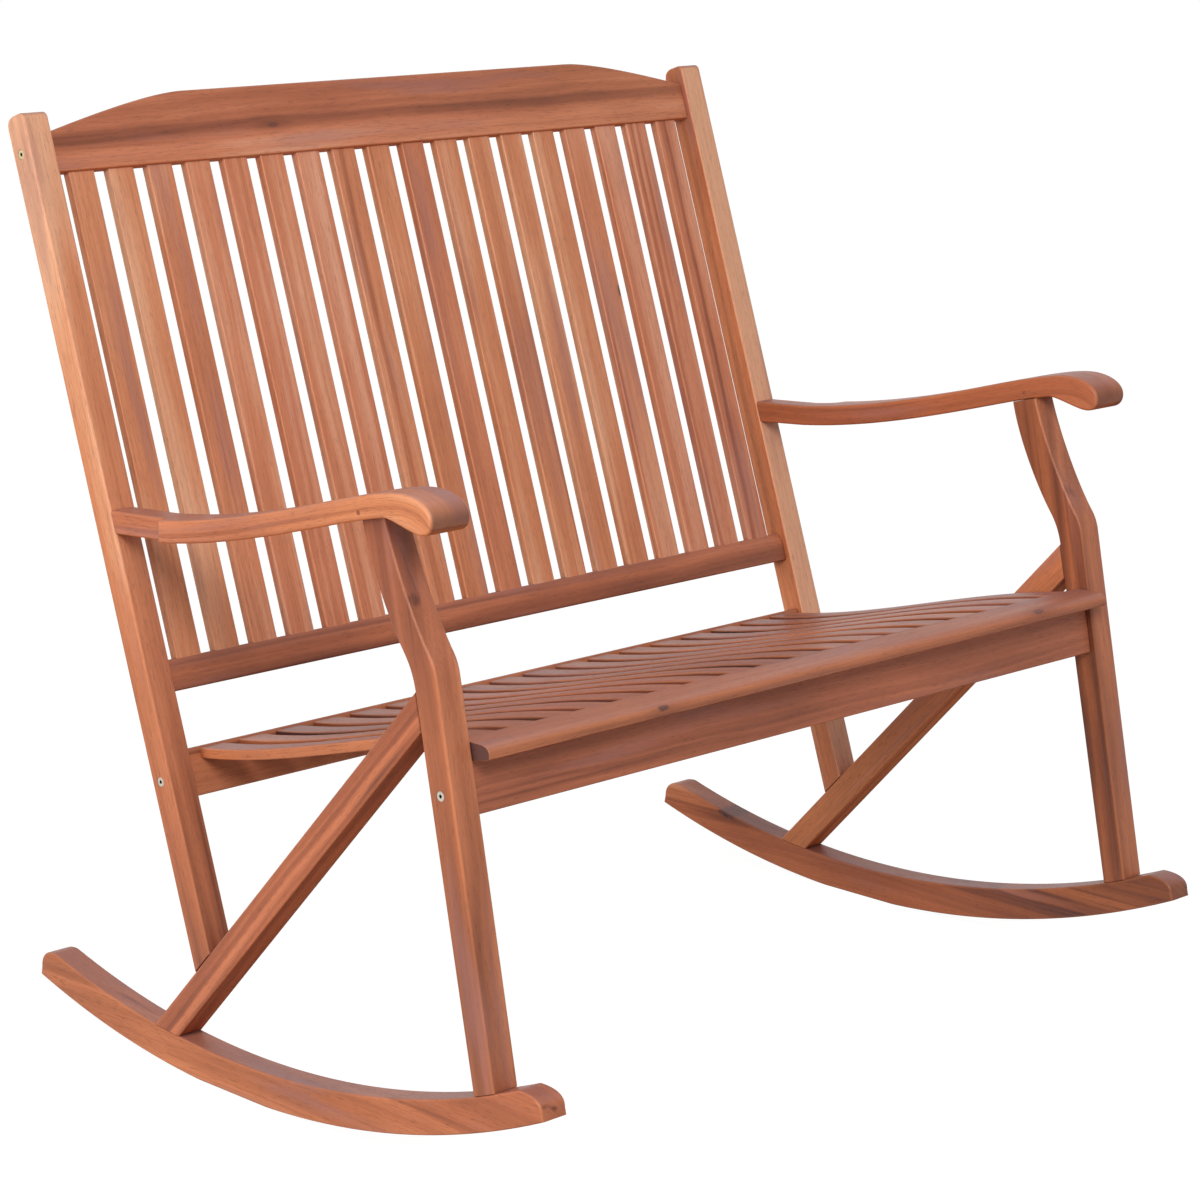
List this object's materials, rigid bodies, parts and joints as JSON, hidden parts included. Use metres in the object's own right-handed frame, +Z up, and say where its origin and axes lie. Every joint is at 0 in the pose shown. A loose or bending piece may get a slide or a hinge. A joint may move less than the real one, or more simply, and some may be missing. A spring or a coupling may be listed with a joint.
{
  "type": "rocking bench",
  "caption": "High-backed wooden rocking bench for a porch: slatted dished seat and leaning slatted back between side frames with scrolled arms, on curved rockers.",
  "frame": {"origin": "on the floor under the middle of the bench's box", "axes": "+X along the seat from the left side frame to the right one, +Y from the front of the seat to the back, +Z up"},
  "size_m": [1.14, 0.8876, 1.096],
  "materials": {
    "frame_wood": "oiled",
    "slat_wood": "oiled",
    "bolt_steel": "zinc plated",
    "bolt_brass": "satin"
  },
  "bodies": {
    "root": {"rocker_left": "frame_wood", "rocker_right": "frame_wood", "front_leg_left": "frame_wood", "front_leg_right": "frame_wood", "rear_post_left": "frame_wood", "rear_post_right": "frame_wood", "brace_left": "frame_wood", "brace_right": "frame_wood", "arm_left": "frame_wood", "arm_right": "frame_wood", "arm_pin_left": "frame_wood", "arm_pin_right": "frame_wood", "top_rail": "frame_wood", "lower_back_rail": "frame_wood", "rear_seat_rail": "frame_wood", "front_apron": "frame_wood", "seat_nosing": "frame_wood", "top_bolt_left": "bolt_brass", "top_bolt_right": "bolt_brass", "seat_bolt_left": "bolt_steel", "seat_bolt_right": "bolt_steel", "apron_bolt_left": "bolt_steel", "apron_bolt_right": "bolt_steel", "back_slat_01": "slat_wood", "seat_slat_01": "slat_wood", "back_slat_02": "slat_wood", "seat_slat_02": "slat_wood", "back_slat_03": "slat_wood", "seat_slat_03": "slat_wood", "back_slat_04": "slat_wood", "seat_slat_04": "slat_wood", "back_slat_05": "slat_wood", "seat_slat_05": "slat_wood", "back_slat_06": "slat_wood", "seat_slat_06": "slat_wood", "back_slat_07": "slat_wood", "seat_slat_07": "slat_wood", "back_slat_08": "slat_wood", "seat_slat_08": "slat_wood", "back_slat_09": "slat_wood", "seat_slat_09": "slat_wood", "back_slat_10": "slat_wood", "seat_slat_10": "slat_wood", "back_slat_11": "slat_wood", "seat_slat_11": "slat_wood", "back_slat_12": "slat_wood", "seat_slat_12": "slat_wood", "back_slat_13": "slat_wood", "seat_slat_13": "slat_wood", "back_slat_14": "slat_wood", "seat_slat_14": "slat_wood", "back_slat_15": "slat_wood", "seat_slat_15": "slat_wood", "back_slat_16": "slat_wood", "seat_slat_16": "slat_wood", "back_slat_17": "slat_wood", "seat_slat_17": "slat_wood", "back_slat_18": "slat_wood", "seat_slat_18": "slat_wood"}
  },
  "joints": []
}
